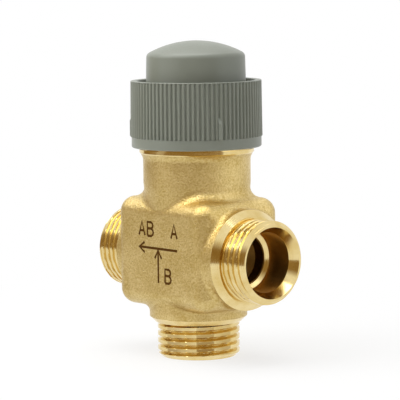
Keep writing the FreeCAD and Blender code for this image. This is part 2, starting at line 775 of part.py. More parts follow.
def build_manual_cap():
    """Moulded cap: skirt, knurled ring, sunk web and hollow dome with a boss that bears on the stem."""
    body = new_body("manual_cap")
    dome_centre = "(dome_top - dome_sphere)"
    inside_radius = "(dome_sphere - cap_wall)"
    turn(
        body,
        "cap_moulding",
        [
            ("cap_bore_radius + skirt_bevel", "skirt_bottom"),
            ("skirt_radius - skirt_round", "skirt_bottom", "skirt_round"),
            ("skirt_radius", "skirt_bottom + skirt_round"),
            ("skirt_radius", "knurl_bottom"),
            ("knurl_bottom_radius", "knurl_bottom"),
            ("knurl_top_radius", "ring_top - ring_round", "ring_round"),
            ("knurl_top_radius - ring_round", "ring_top"),
            ("groove_radius", "ring_top"),
            ("groove_radius", "web_top"),
            ("dome_foot_radius", "web_top"),
            ("dome_radius", f"{dome_centre} + sqrt(dome_sphere ^ 2 - dome_radius ^ 2)", "dome_sphere"),
            ("0", "dome_top"),
            ("0", "stem_top"),
            ("push_boss_radius", "stem_top"),
            (
                "push_boss_radius",
                f"{dome_centre} + sqrt({inside_radius} ^ 2 - push_boss_radius ^ 2)",
                f"-{inside_radius}",
            ),
            (
                "dome_radius - cap_wall",
                f"{dome_centre} + sqrt({inside_radius} ^ 2 - (dome_radius - cap_wall) ^ 2)",
            ),
            ("dome_foot_radius - cap_wall", "web_bottom"),
            ("cap_bore_radius", "web_bottom"),
            ("cap_bore_radius", "skirt_bottom + skirt_bevel"),
        ],
    )
    round_edges(body, "dome_shoulder", "dome_round", on_dome_shoulder)

    marker = new_sketch(body, "marker_side", "XZ_Plane")
    draw_outline(
        marker,
        [
            ("knurl_gap_radius", "knurl_bottom"),
            ("marker_radius", "knurl_bottom"),
            ("marker_radius", "marker_shoulder"),
            ("knurl_gap_radius", "marker_tip"),
        ],
    )

    gap = new_sketch(body, "knurl_gap_plan", "XY_Plane")
    gap.setExpression("AttachmentOffset.Base.z", bound("knurl_bottom"))
    draw_outline(
        gap,
        [
            ("knurl_gap_radius", "-knurl_gap_floor / 2"),
            ("marker_radius", "-knurl_gap_mouth / 2"),
            ("marker_radius", "knurl_gap_mouth / 2"),
            ("knurl_gap_radius", "knurl_gap_floor / 2"),
        ],
    )
    solid_volume = body.Shape.Volume
    groove = body.newObject("PartDesign::Pocket", "knurl_gap")
    groove.Profile = gap
    groove.Reversed = True
    groove.setExpression("Length", bound("knurl_gap_top - knurl_bottom"))
    doc.recompute()
    if not body.Shape.Volume < solid_volume:
        raise RuntimeError("the knurl cuts nothing")
    repeat_round(body, "knurl", [groove], "knurl_count")

    rib = body.newObject("PartDesign::Pad", "marker_rib")
    rib.Profile = marker
    rib.Midplane = True
    rib.setExpression("Length", bound("marker_width"))
    doc.recompute()
    repeat_round(body, "markers", [rib], "marker_count")

    body.Placement.Rotation.Axis = FreeCAD.Vector(0, 0, 1)
    body.setExpression("Placement.Rotation.Angle", bound("marker_angle"))
    doc.recompute()
    return body


sub_parts = [
    build_valve_body(),
    build_upper_seat_ring(),
    build_bonnet(),
    build_gland_nut(),
    *build_rings(),
    *build_washers(),
    build_plug_carrier(),
    build_plug_nut(),
    build_stem(),
    build_retaining_clip(),
    build_return_spring(),
    build_manual_cap(),
]
doc.recompute()

failed = [item.Label for item in doc.Objects if {"Invalid", "Error"} & set(item.State)]
if failed:
    raise RuntimeError(f"features that failed: {failed}")
for sub_part in sub_parts:
    if sub_part.Shape.isNull() or not sub_part.Shape.isValid():
        raise RuntimeError(f"{sub_part.Label} has no valid shape")

os.makedirs("parts", exist_ok=True)
for sub_part in sub_parts:
    sub_part.Shape.exportStep(f"parts/{sub_part.Label}.step")
    print(f"{sub_part.Label}: {sub_part.Shape.Volume:.1f} mm3")
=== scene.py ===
import json
import math

import bmesh
import bpy
from mathutils import Matrix, Vector


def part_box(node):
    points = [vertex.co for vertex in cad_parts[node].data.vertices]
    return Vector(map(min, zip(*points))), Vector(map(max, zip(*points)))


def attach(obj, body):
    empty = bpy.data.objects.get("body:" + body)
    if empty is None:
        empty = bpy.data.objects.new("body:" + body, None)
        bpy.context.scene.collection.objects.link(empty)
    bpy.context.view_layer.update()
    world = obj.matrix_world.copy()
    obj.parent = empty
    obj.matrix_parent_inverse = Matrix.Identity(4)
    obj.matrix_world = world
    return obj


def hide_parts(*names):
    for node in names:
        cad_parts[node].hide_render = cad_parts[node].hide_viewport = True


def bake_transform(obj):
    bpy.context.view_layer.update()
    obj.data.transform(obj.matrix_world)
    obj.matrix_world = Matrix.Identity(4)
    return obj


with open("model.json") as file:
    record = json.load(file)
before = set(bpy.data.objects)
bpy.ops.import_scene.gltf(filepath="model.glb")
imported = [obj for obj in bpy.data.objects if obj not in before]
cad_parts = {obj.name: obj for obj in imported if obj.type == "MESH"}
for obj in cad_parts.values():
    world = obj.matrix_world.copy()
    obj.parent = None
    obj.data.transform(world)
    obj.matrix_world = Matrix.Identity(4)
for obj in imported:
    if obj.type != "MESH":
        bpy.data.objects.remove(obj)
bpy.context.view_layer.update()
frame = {"nodes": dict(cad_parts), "record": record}
mounts = {mount["name"]: mount for mount in frame["record"]["mounts"]}
mm = 0.001
hair = 0.001 * mm        # too small to see: keeps faces apart, and joins points that are the same
print("frame loaded with", len(frame["nodes"]), "nodes")


def linearColour(hexColour):
    parts = [int(hexColour[place:place + 2], 16) / 255 for place in (1, 3, 5)]
    return [part / 12.92 if part < 0.04045 else ((part + 0.055) / 1.055) ** 2.4 for part in parts] + [1]


# One node with its settings, and its inputs as plain values or as the sockets to link from.
# An input goes by its name or number: a Mix node has its share at 0, numbers at 2 and 3, colours at 6 and 7.
def addNode(tree, kind, settings=None, inputs=None):
    node = tree.nodes.new(kind)
    for name, value in (settings or {}).items():
        setattr(node, name, value)
    for key, value in (inputs or {}).items():
        if isinstance(value, bpy.types.NodeSocket):
            tree.links.new(value, node.inputs[key])
        else:
            node.inputs[key].default_value = value
    return node


def newMaterial(name):
    material = bpy.data.materials.new(name)
    material.use_nodes = True
    material.node_tree.nodes.clear()
    return material, material.node_tree


def closeMaterial(tree, shader):
    addNode(tree, "ShaderNodeOutputMaterial", inputs={"Surface": shader.outputs["BSDF"]})


forgedLook = {
    "pale": "#E3CC90",
    "deep": "#BEA25B",
    "grain": 0.46,          # mm, dents of the shot
    "cloud": 7.0,           # mm, slow change of tone
    "grainShare": 0.7,      # of the tone, and the rest is cloud
    "deepAt": 0.36,         # tone at which the colour is all deep, and all pale
    "paleAt": 0.64,
    "dent": 0.19,           # mm, depth of the dents
    "roughLow": 0.27,
    "roughHigh": 0.48,
}


# Hot-forged brass, shot-blasted: a dull golden skin with tiny glinting dents and slow clouds of tone
def makeForgedBrass():
    look = forgedLook
    material, tree = newMaterial("forgedBrassShotBlasted")
    place = addNode(tree, "ShaderNodeTexCoord").outputs["Object"]
    grain = addNode(tree, "ShaderNodeTexNoise", inputs={
        "Vector": place, "Scale": 1 / (look["grain"] * mm), "Detail": 3.0, "Roughness": 0.6})
    cloud = addNode(tree, "ShaderNodeTexNoise", inputs={
        "Vector": place, "Scale": 1 / (look["cloud"] * mm), "Detail": 2.0})
    tone = addNode(tree, "ShaderNodeMix", {"data_type": "FLOAT"}, {
        0: look["grainShare"], 2: cloud.outputs["Fac"], 3: grain.outputs["Fac"]})
    colour = addNode(tree, "ShaderNodeValToRGB", inputs={"Fac": tone.outputs[0]})
    colour.color_ramp.elements[0].position = look["deepAt"]
    colour.color_ramp.elements[0].color = linearColour(look["deep"])
    colour.color_ramp.elements[1].position = look["paleAt"]
    colour.color_ramp.elements[1].color = linearColour(look["pale"])
    rough = addNode(tree, "ShaderNodeMapRange", inputs={
        "Value": grain.outputs["Fac"], "From Min": 0.3, "From Max": 0.7,
        "To Min": look["roughHigh"], "To Max": look["roughLow"]})
    bump = addNode(tree, "ShaderNodeBump", inputs={
        "Strength": 0.8, "Distance": look["dent"] * mm, "Height": grain.outputs["Fac"]})
    closeMaterial(tree, addNode(tree, "ShaderNodeBsdfPrincipled", inputs={
        "Base Color": colour.outputs["Color"], "Metallic": 1.0,
        "Roughness": rough.outputs["Result"], "Normal": bump.outputs["Normal"]}))
    return material


turnedLook = {
    "bright": "#ECD8A0",
    "shade": "#DBC07C",
    "feed": 0.34,           # mm between tool lines, drawn coarser than the real 0.1 so that they show
    "line": 0.004,          # mm, depth of a tool line
    "cloud": 4.0,           # mm
    "roughLow": 0.10,
    "roughHigh": 0.18,
}

boredLook = {
    "bright": "#EBCB8C",
    "shade": "#D3AC66",
    "feed": 0.34,           # drawn coarser, as above
    "line": 0.006,
    "cloud": 4.0,
    "roughLow": 0.26,
    "roughHigh": 0.40,
}

# Painted shade: this dark brown stands in for the shade deep inside the valve, on the waterway's walls and
# the pieces in it
waterwayShadeLook = {
    "bright": "#84622F",
    "shade": "#5C4520",
    "feed": 0.34,           # drawn coarser, as above
    "line": 0.006,
    "cloud": 4.0,
    "roughLow": 0.46,
    "roughHigh": 0.60,
}


# Brass cut on a lathe, with fine rings round the axis of the cut: a mirror-like gold outside,
# duller in the bores, and a dark brown deep in the waterway that is painted shade
def makeTurnedBrass(name, axis, look):
    material, tree = newMaterial(name)
    place = addNode(tree, "ShaderNodeTexCoord").outputs["Object"]
    # the wave's bands repeat every pi / 10 at a scale of 1
    rings = addNode(tree, "ShaderNodeTexWave", {"wave_type": "BANDS", "bands_direction": axis}, {
        "Vector": place, "Scale": math.pi / (10 * look["feed"] * mm), "Distortion": 0.6,
        "Detail": 2.0, "Detail Scale": 0.4})
    cloud = addNode(tree, "ShaderNodeTexNoise", inputs={
        "Vector": place, "Scale": 1 / (look["cloud"] * mm), "Detail": 3.0})
    colour = addNode(tree, "ShaderNodeValToRGB", inputs={"Fac": cloud.outputs["Fac"]})
    colour.color_ramp.elements[0].position = 0.30
    colour.color_ramp.elements[0].color = linearColour(look["shade"])
    colour.color_ramp.elements[1].position = 0.70
    colour.color_ramp.elements[1].color = linearColour(look["bright"])
    rough = addNode(tree, "ShaderNodeMapRange", inputs={
        "Value": rings.outputs["Fac"], "To Min": look["roughLow"], "To Max": look["roughHigh"]})
    bump = addNode(tree, "ShaderNodeBump", inputs={
        "Strength": 0.6, "Distance": look["line"] * mm, "Height": rings.outputs["Fac"]})
    closeMaterial(tree, addNode(tree, "ShaderNodeBsdfPrincipled", inputs={
        "Base Color": colour.outputs["Color"], "Metallic": 1.0,
        "Roughness": rough.outputs["Result"], "Normal": bump.outputs["Normal"]}))
    return material


markLook = {
    "dark": "#4A2C02",
    "edge": "#6B460C",
    "grain": 0.5,           # mm
    "metallic": 0.85,       # some bare brass shows through
    "roughLow": 0.55,
    "roughHigh": 0.75,
}


# Brass burnt by a marking laser: a matt brown oxide, a little uneven along the stroke
def makeMarkedBrass():
    look = markLook
    material, tree = newMaterial("laserMarkedBrass")
    place = addNode(tree, "ShaderNodeTexCoord").outputs["Object"]
    grain = addNode(tree, "ShaderNodeTexNoise", inputs={
        "Vector": place, "Scale": 1 / (look["grain"] * mm), "Detail": 2.0})
    colour = addNode(tree, "ShaderNodeMix", {"data_type": "RGBA"}, {
        0: grain.outputs["Fac"], 6: linearColour(look["dark"]), 7: linearColour(look["edge"])})
    rough = addNode(tree, "ShaderNodeMapRange", inputs={
        "Value": grain.outputs["Fac"], "To Min": look["roughLow"], "To Max": look["roughHigh"]})
    closeMaterial(tree, addNode(tree, "ShaderNodeBsdfPrincipled", inputs={
        "Base Color": colour.outputs[2], "Metallic": look["metallic"],
        "Roughness": rough.outputs["Result"]}))
    return material


capLook = {
    "base": "#888C80",
    "low": "#7E8276",
    "grain": 0.30,          # mm, spark-eroded texture of the mould
    "cloud": 9.0,           # mm, flow of the melt
    "depth": 0.008,         # mm
    "roughLow": 0.32,
    "roughHigh": 0.44,
}


# Glass-filled polyamide, moulded: a dull grey-green with a soft sheen and a fine eroded grain
def makeCapPlastic():
    look = capLook
    material, tree = newMaterial("polyamideMouldedGrey")
    place = addNode(tree, "ShaderNodeTexCoord").outputs["Object"]
    grain = addNode(tree, "ShaderNodeTexNoise", inputs={
        "Vector": place, "Scale": 1 / (look["grain"] * mm), "Detail": 2.0})
    cloud = addNode(tree, "ShaderNodeTexNoise", inputs={
        "Vector": place, "Scale": 1 / (look["cloud"] * mm), "Detail": 2.0})
    colour = addNode(tree, "ShaderNodeMix", {"data_type": "RGBA"}, {
        0: cloud.outputs["Fac"], 6: linearColour(look["low"]), 7: linearColour(look["base"])})
    rough = addNode(tree, "ShaderNodeMapRange", inputs={
        "Value": grain.outputs["Fac"], "From Min": 0.3, "From Max": 0.7,
        "To Min": look["roughLow"], "To Max": look["roughHigh"]})
    bump = addNode(tree, "ShaderNodeBump", inputs={
        "Strength": 0.6, "Distance": look["depth"] * mm, "Height": grain.outputs["Fac"]})
    closeMaterial(tree, addNode(tree, "ShaderNodeBsdfPrincipled", inputs={
        "Base Color": colour.outputs[2], "Roughness": rough.outputs["Result"],
        "Normal": bump.outputs["Normal"], "IOR": 1.53}))
    return material


innerLooks = {
    # name: two tones, metallic, roughness low and high, pattern size in mm
    "stainlessSteelDrawn": ("#C9C8C2", "#A9A8A2", 1.0, 0.22, 0.36, 0.25),
    "springSteelBright": ("#BDBBB4", "#98968F", 1.0, 0.26, 0.40, 0.20),
    "epdmRubberMoulded": ("#1C1C1B", "#2B2B29", 0.0, 0.55, 0.72, 0.35),
    "ptfeTurned": ("#E4E2DA", "#D3D0C6", 0.0, 0.40, 0.52, 0.40),
}


# Pieces inside the valve: drawn steel with faint streaks, matt black rubber, waxy white seal plastic
def makeInnerMaterial(name):
    pale, deep, metallic, roughLow, roughHigh, grainSize = innerLooks[name]
    material, tree = newMaterial(name)
    place = addNode(tree, "ShaderNodeTexCoord").outputs["Object"]
    grain = addNode(tree, "ShaderNodeTexNoise", inputs={
        "Vector": place, "Scale": 1 / (grainSize * mm), "Detail": 3.0})
    colour = addNode(tree, "ShaderNodeMix", {"data_type": "RGBA"}, {
        0: grain.outputs["Fac"], 6: linearColour(deep), 7: linearColour(pale)})
    rough = addNode(tree, "ShaderNodeMapRange", inputs={
        "Value": grain.outputs["Fac"], "To Min": roughLow, "To Max": roughHigh})
    closeMaterial(tree, addNode(tree, "ShaderNodeBsdfPrincipled", inputs={
        "Base Color": colour.outputs[2], "Metallic": metallic, "Roughness": rough.outputs["Result"]}))
    return material


forgedBrass = makeForgedBrass()
turnedBrassSide = makeTurnedBrass("brassTurnedAlongSidePorts", "X", turnedLook)
turnedBrassUpright = makeTurnedBrass("brassTurnedAlongStem", "Z", turnedLook)
boredBrassSide = makeTurnedBrass("brassBoredAlongSidePorts", "X", boredLook)
boredBrassUpright = makeTurnedBrass("brassBoredAlongStem", "Z", boredLook)
waterwayShadeBrass = makeTurnedBrass("brassPaintedShadeInWaterway", "Z", waterwayShadeLook)
markedBrass = makeMarkedBrass()
capPlastic = makeCapPlastic()
innerMaterials = {name: makeInnerMaterial(name) for name in innerLooks}
print("materials made:", len(bpy.data.materials))


# A new tree with inputs of the given kinds; it hands back the sockets that carry them
def newTree(name, inputs):
    tree = bpy.data.node_groups.new(name, "GeometryNodeTree")
    for inputName, kind in inputs.items():
        tree.interface.new_socket(name=inputName, in_out="INPUT", socket_type=f"NodeSocket{kind}")
    tree.interface.new_socket(name="Mesh", in_out="OUTPUT", socket_type="NodeSocketGeometry")
    return tree, addNode(tree, "NodeGroupInput").outputs


def closeTree(tree, geometry, material):
    real = addNode(tree, "GeometryNodeRealizeInstances", inputs={"Geometry": geometry})
    dressed = addNode(tree, "GeometryNodeSetMaterial", inputs={
        "Geometry": real.outputs["Geometry"], "Material": material})
    addNode(tree, "NodeGroupOutput", inputs={"Mesh": dressed.outputs["Geometry"]})
    return tree


# A tree that turns a profile round Z and cuts ribs or a thread into it. The profile is a row of points
# in the XZ plane, each with the depth of cut there. Cuts run straight when Per Length is 0, else as a helix.
def makeTurningTree():
    tree, given = newTree("turnedWithCuts", {
        "Profile": "Geometry", "Columns": "Int", "Cuts Round": "Float", "Per Length": "Float",
        "Floor Share": "Float", "Crest Share": "Float", "Material": "Material"})
    rows = addNode(tree, "GeometryNodeAttributeDomainSize", inputs={"Geometry": given["Profile"]})
    columns = addNode(tree, "ShaderNodeMath", {"operation": "ADD"}, {0: given["Columns"], 1: 1})
    # a grid from -0.5 to 0.5, whose X runs once round and whose Y runs along the profile
    grid = addNode(tree, "GeometryNodeMeshGrid", inputs={
        "Size X": 1.0, "Size Y": 1.0,
        "Vertices X": columns.outputs[0], "Vertices Y": rows.outputs["Point Count"]})
    spot = addNode(tree, "ShaderNodeSeparateXYZ", inputs={
        "Vector": addNode(tree, "GeometryNodeInputPosition").outputs["Position"]})
    turn = addNode(tree, "ShaderNodeMath", {"operation": "ADD"}, {0: spot.outputs["X"], 1: 0.5})
    share = addNode(tree, "ShaderNodeMath", {"operation": "ADD"}, {0: spot.outputs["Y"], 1: 0.5})
    lastRow = addNode(tree, "ShaderNodeMath", {"operation": "SUBTRACT"}, {
        0: rows.outputs["Point Count"], 1: 1})
    rowPlace = addNode(tree, "ShaderNodeMath", {"operation": "MULTIPLY"}, {
        0: share.outputs[0], 1: lastRow.outputs[0]})
    row = addNode(tree, "ShaderNodeMath", {"operation": "ROUND"}, {0: rowPlace.outputs[0]})
    profilePoint = addNode(tree, "GeometryNodeSampleIndex", {"data_type": "FLOAT_VECTOR"}, {
        "Geometry": given["Profile"], "Index": row.outputs[0],
        "Value": addNode(tree, "GeometryNodeInputPosition").outputs["Position"]})
    cutDepth = addNode(tree, "GeometryNodeInputNamedAttribute", {"data_type": "FLOAT"}, {"Name": "cut"})
    cut = addNode(tree, "GeometryNodeSampleIndex", {"data_type": "FLOAT"}, {
        "Geometry": given["Profile"], "Index": row.outputs[0], "Value": cutDepth.outputs["Attribute"]})
    profile = addNode(tree, "ShaderNodeSeparateXYZ", inputs={"Vector": profilePoint.outputs["Value"]})
    around = addNode(tree, "ShaderNodeMath", {"operation": "MULTIPLY"}, {
        0: turn.outputs[0], 1: given["Cuts Round"]})
    phase = addNode(tree, "ShaderNodeMath", {"operation": "MULTIPLY_ADD"}, {
        0: profile.outputs["Z"], 1: given["Per Length"], 2: around.outputs[0]})
    # half a wave runs from 0 at the floor of a cut to 0.5 at a crest
    wave = addNode(tree, "ShaderNodeMath", {"operation": "PINGPONG"}, {0: phase.outputs[0], 1: 0.5})
    crest = addNode(tree, "ShaderNodeMath", {"operation": "SUBTRACT"}, {0: 1.0, 1: given["Crest Share"]})
    low = addNode(tree, "ShaderNodeMath", {"operation": "MULTIPLY"}, {0: given["Floor Share"], 1: 0.5})
    high = addNode(tree, "ShaderNodeMath", {"operation": "MULTIPLY"}, {0: crest.outputs[0], 1: 0.5})
    inward = addNode(tree, "ShaderNodeMapRange", inputs={
        "Value": wave.outputs[0], "From Min": low.outputs[0], "From Max": high.outputs[0],
        "To Min": 1.0, "To Max": 0.0})
    taken = addNode(tree, "ShaderNodeMath", {"operation": "MULTIPLY"}, {
        0: inward.outputs[0], 1: cut.outputs["Value"]})
    radius = addNode(tree, "ShaderNodeMath", {"operation": "SUBTRACT"}, {
        0: profile.outputs["X"], 1: taken.outputs[0]})
    angle = addNode(tree, "ShaderNodeMath", {"operation": "MULTIPLY"}, {0: turn.outputs[0], 1: 2 * math.pi})
    cosine = addNode(tree, "ShaderNodeMath", {"operation": "COSINE"}, {0: angle.outputs[0]})
    sine = addNode(tree, "ShaderNodeMath", {"operation": "SINE"}, {0: angle.outputs[0]})
    placeX = addNode(tree, "ShaderNodeMath", {"operation": "MULTIPLY"}, {
        0: radius.outputs[0], 1: cosine.outputs[0]})
    placeY = addNode(tree, "ShaderNodeMath", {"operation": "MULTIPLY"}, {
        0: radius.outputs[0], 1: sine.outputs[0]})
    place = addNode(tree, "ShaderNodeCombineXYZ", inputs={
        "X": placeX.outputs[0], "Y": placeY.outputs[0], "Z": profile.outputs["Z"]})
    turned = addNode(tree, "GeometryNodeSetPosition", inputs={
        "Geometry": grid.outputs["Mesh"], "Position": place.outputs["Vector"]})
    closed = addNode(tree, "GeometryNodeMergeByDistance", inputs={
        "Geometry": turned.outputs["Geometry"], "Distance": 2 * hair})
    return closeTree(tree, closed.outputs["Geometry"], given["Material"])


# A tree that sets equal copies of a shape round Z
def makeRoundTree():
    tree, given = newTree("copiesRoundStem", {
        "Shape": "Geometry", "Count": "Int", "First Turn": "Float", "Material": "Material"})
    points = addNode(tree, "GeometryNodePoints", inputs={"Count": given["Count"]})
    step = addNode(tree, "ShaderNodeMath", {"operation": "DIVIDE"}, {0: 2 * math.pi, 1: given["Count"]})
    turn = addNode(tree, "ShaderNodeMath", {"operation": "MULTIPLY_ADD"}, {
        0: addNode(tree, "GeometryNodeInputIndex").outputs["Index"],
        1: step.outputs[0], 2: given["First Turn"]})
    rotation = addNode(tree, "ShaderNodeCombineXYZ", inputs={"Z": turn.outputs[0]})
    copies = addNode(tree, "GeometryNodeInstanceOnPoints", inputs={
        "Points": points.outputs[0], "Instance": given["Shape"], "Rotation": rotation.outputs["Vector"]})
    return closeTree(tree, copies.outputs["Instances"], given["Material"])


# A tree that winds a round wire into a coil with its two end turns closed
def makeCoilTree():
    tree, given = newTree("woundSpring", {
        "Geometry": "Geometry", "Coil Radius": "Float", "Wire Radius": "Float", "Turns": "Float",
        "Steps Per Turn": "Int", "Wire Sides": "Int", "Closed Share": "Float",
        "Bottom": "Float", "Height": "Float", "Material": "Material"})
    coil = addNode(tree, "GeometryNodeCurveSpiral", inputs={
        "Resolution": given["Steps Per Turn"], "Rotations": given["Turns"],
        "Start Radius": given["Coil Radius"], "End Radius": given["Coil Radius"], "Height": 1.0})
    spot = addNode(tree, "ShaderNodeSeparateXYZ", inputs={
        "Vector": addNode(tree, "GeometryNodeInputPosition").outputs["Position"]})
    # the rise is slow in the first and last part of the wire, so the end turns lie closed
    rise = addNode(tree, "ShaderNodeMapRange", {"interpolation_type": "SMOOTHSTEP"}, {
        "Value": spot.outputs["Z"]})
    mixed = addNode(tree, "ShaderNodeMix", {"data_type": "FLOAT"}, {
        0: given["Closed Share"], 2: spot.outputs["Z"], 3: rise.outputs["Result"]})
    lifted = addNode(tree, "ShaderNodeMath", {"operation": "MULTIPLY_ADD"}, {
        0: mixed.outputs[0], 1: given["Height"], 2: given["Bottom"]})
    place = addNode(tree, "ShaderNodeCombineXYZ", inputs={
        "X": spot.outputs["X"], "Y": spot.outputs["Y"], "Z": lifted.outputs[0]})
    route = addNode(tree, "GeometryNodeSetPosition", inputs={
        "Geometry": coil.outputs["Curve"], "Position": place.outputs["Vector"]})
    section = addNode(tree, "GeometryNodeCurvePrimitiveCircle", inputs={
        "Resolution": given["Wire Sides"], "Radius": given["Wire Radius"]})
    wire = addNode(tree, "GeometryNodeCurveToMesh", inputs={
        "Curve": route.outputs["Geometry"], "Profile Curve": section.outputs["Curve"], "Fill Caps": True})
    return closeTree(tree, wire.outputs["Mesh"], given["Material"])


# Runs a tree on a mesh with the given inputs and returns the plain mesh that comes out
def runTree(tree, mesh, values):
    carrier = bpy.data.objects.new("treeCarrier", mesh)
    bpy.context.scene.collection.objects.link(carrier)
    modifier = carrier.modifiers.new("tree", "NODES")
    modifier.node_group = tree
    identifiers = {item.name: item.identifier for item in tree.interface.items_tree if item.in_out == "INPUT"}
    for name, value in values.items():
        modifier[identifiers[name]] = value
    depsgraph = bpy.context.evaluated_depsgraph_get()
    made = bpy.data.meshes.new_from_object(carrier.evaluated_get(depsgraph), depsgraph=depsgraph)
    carrier.modifiers.clear()
    bpy.data.objects.remove(carrier)
    return made


def faceOutwards(mesh):
    shell = bmesh.new()
    shell.from_mesh(mesh)
    bmesh.ops.recalc_face_normals(shell, faces=shell.faces)
    shell.to_mesh(mesh)
    shell.free()


def profileMesh(points):
    mesh = bpy.data.meshes.new("profile")
    mesh.from_pydata([(radius, 0, height) for radius, height, cut in points], [], [])
    depths = mesh.attributes.new("cut", "FLOAT", "POINT")
    depths.data.foreach_set("value", [cut for radius, height, cut in points])
    return mesh


def arcPoints(centre, radius, start, end, steps):
    angles = [math.radians(start + (end - start) * step / steps) for step in range(steps + 1)]
    return [(centre[0] + radius * math.cos(angle), centre[1] + radius * math.sin(angle)) for angle in angles]


# A finished piece: its mesh at the origin, smooth with crisp edges, riding on a body
def makePiece(name, mesh, body, sharpAngle=34):
    shell = bmesh.new()
    shell.from_mesh(mesh)
    shell.normal_update()
    for face in shell.faces:
        face.smooth = True
    for edge in shell.edges:
        edge.smooth = edge.calc_face_angle(0) < math.radians(sharpAngle)
    shell.to_mesh(mesh)
    shell.free()
    piece = bpy.data.objects.new(name, mesh)
    bpy.context.scene.collection.objects.link(piece)
    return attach(piece, body)


turningTree = makeTurningTree()
roundTree = makeRoundTree()
coilTree = makeCoilTree()

# Sizes from here to the flow mark are in mm, and heights run up the stem from the lower port's rim
threadSize = {
    "portPitch": 1.814,      # 14 turns an inch
    "portMinor": 9.5,
    "portRim": 9.4,
    "leadIn": 1.0,
    "mouthRadius": 8.9,
    "mouthDepth": 2.35,
    "socketRadius": 7.55,
    "bevelEnd": 11.1,        # radius at which a port's bevel ends, and the flat step starts
    "ports": {
        # where the bevel and the thread start along a port's axis, one side of it,
        # and how far along the thread the first groove is on that side
        "port_a_thread": (19.35, 20.9, (0, -1, 0), 0.51),
        "port_ab_thread": (17.4, 18.95, (0, -1, 0), 0.75),
        "port_b_thread": (-10.3, -8.95, (0.76, -0.65, 0), 1.79),
    },
    "rowsPerTurn": 20,
    "columns": 160,
    "coreRadius": 9.2,       # forging under the turned end, outside and inside
    "coreInside": 8.4,
    "coreReach": 1.2,        # how far it stays behind the rim
    "coreSlack": 0.1,        # margin at the socket's skin
    "lip": 0.3,              # how far the turned end reaches under the forging's skin
    "socketDepth": 9.6,
    "stepCone": 0.5,         # the drill's tip left the step at the end of a socket coned
    "stepInner": 6.45,
    "capPitch": 1.5,
    "capMajor": 14.95,
    "capMinor": 14.05,
    "capBottom": 54.2,
    "capTop": 62.0,
    "capBevel": 0.8,
    "capCore": 13.9,
    "capBack": 13.6,
    "floorShare": 0.06,
    "crestShare": 0.46,
    "setBack": 0.01,         # keeps the end of the cap's thread just behind the rim that it meets
}


# Rows of a thread from 0 to its end: radius, height and depth of cut, with a bevel at each end
def threadRows(length, major, minor, pitch, start, end):
    startRadius, startBevel = start
    endRadius, endBevel = end
    rowCount = math.ceil(length / pitch * threadSize["rowsPerTurn"])
    rows = []
    for row in range(rowCount + 1):
        height = length * row / rowCount
        radius = min(major, startRadius + height * (major - startRadius) / startBevel,
                     endRadius + (length - height) * (major - endRadius) / endBevel)
        rows.append((radius, height, max(0, radius - minor)))
    return rows


# A port's turned end, from under the forging over bevel, step and thread to the rim, then cone and socket
def portProfile(length, bevel, crest):
    size = threadSize
    edge = size["bevelEnd"] + bevel
    lip = size["lip"]
    socketEnd = length - size["socketDepth"]
    stepEnd = socketEnd - size["stepCone"]
    points = [(edge - lip, -bevel - lip, 0), (edge, -bevel, 0), (size["bevelEnd"], 0, 0)]
    points += threadRows(length, crest, size["portMinor"], size["portPitch"],
                         (crest, size["leadIn"]), (size["portRim"], size["leadIn"]))
    points += [(size["mouthRadius"], length, 0), (size["socketRadius"], length - size["mouthDepth"], 0),
               (size["socketRadius"], socketEnd, 0), (size["stepInner"], stepEnd, 0),
               (size["stepInner"], stepEnd - lip, 0), (size["stepInner"] + lip, stepEnd - 2 * lip, 0)]
    return points + points[:1]


# A right-hand thread with one start
def makeThread(points, pitch, material):
    size = threadSize
    scaled = [(radius * mm, height * mm, cut * mm) for radius, height, cut in points]
    mesh = runTree(turningTree, profileMesh(scaled), {
        "Columns": size["columns"], "Cuts Round": -1.0, "Per Length": 1 / (pitch * mm),
        "Floor Share": size["floorShare"], "Crest Share": size["crestShare"], "Material": material})
    faceOutwards(mesh)
    return mesh


bodySize = {
    "turnedFrom": 51.9,      # height above which the neck was turned
    "chamberRadius": 10.6,   # everything nearer the stem is bored
    "boreRadius": 7.6,
    "boreFrom": 10.0,        # a side port's bore starts this far from the stem, the lower one ends this high
    "stepFacing": 0.8,       # the step at the end of a socket faces out, and is bright
    "near": 0.06,            # slack for what lies on an edge
    "sharpAngle": 24,        # degrees
}

bodyMaterials = (forgedBrass, turnedBrassSide, turnedBrassUpright,
                 boredBrassSide, boredBrassUpright, waterwayShadeBrass)
forged, turnedSide, turnedUpright, boredSide, boredUpright, deep = range(len(bodyMaterials))
bevelEdges = {portName: port[0] * mm for portName, port in threadSize["ports"].items()}


# Which of the body's finishes a face has, on the forging or on a port's turned end
def finishOf(middle, normal, portEnd=False):
    fromSide = math.hypot(middle.y, middle.z - mounts["port_a_thread"]["pos_m"][2])
    fromStem = math.hypot(middle.x, middle.y)
    near = bodySize["near"] * mm
    bore = bodySize["boreRadius"] * mm
    facing = bodySize["stepFacing"]
    # Faces in the bores and the chamber that no turned end covers take deep, the painted shade of the
    # waterway
    if fromSide < bore and abs(middle.x) > bodySize["boreFrom"] * mm:
        return (turnedSide if abs(normal.x) > facing else boredSide) if portEnd else deep
    if fromStem < bore and middle.z < bodySize["boreFrom"] * mm:
        return (turnedUpright if abs(normal.z) > facing else boredUpright) if portEnd else deep
    if middle.x < near - bevelEdges["port_ab_thread"] or middle.x > bevelEdges["port_a_thread"] - near:
        return turnedSide
    if middle.z < near - bevelEdges["port_b_thread"] or middle.z > bodySize["turnedFrom"] * mm:
        return turnedUpright
    return deep if fromStem < bodySize["chamberRadius"] * mm else forged


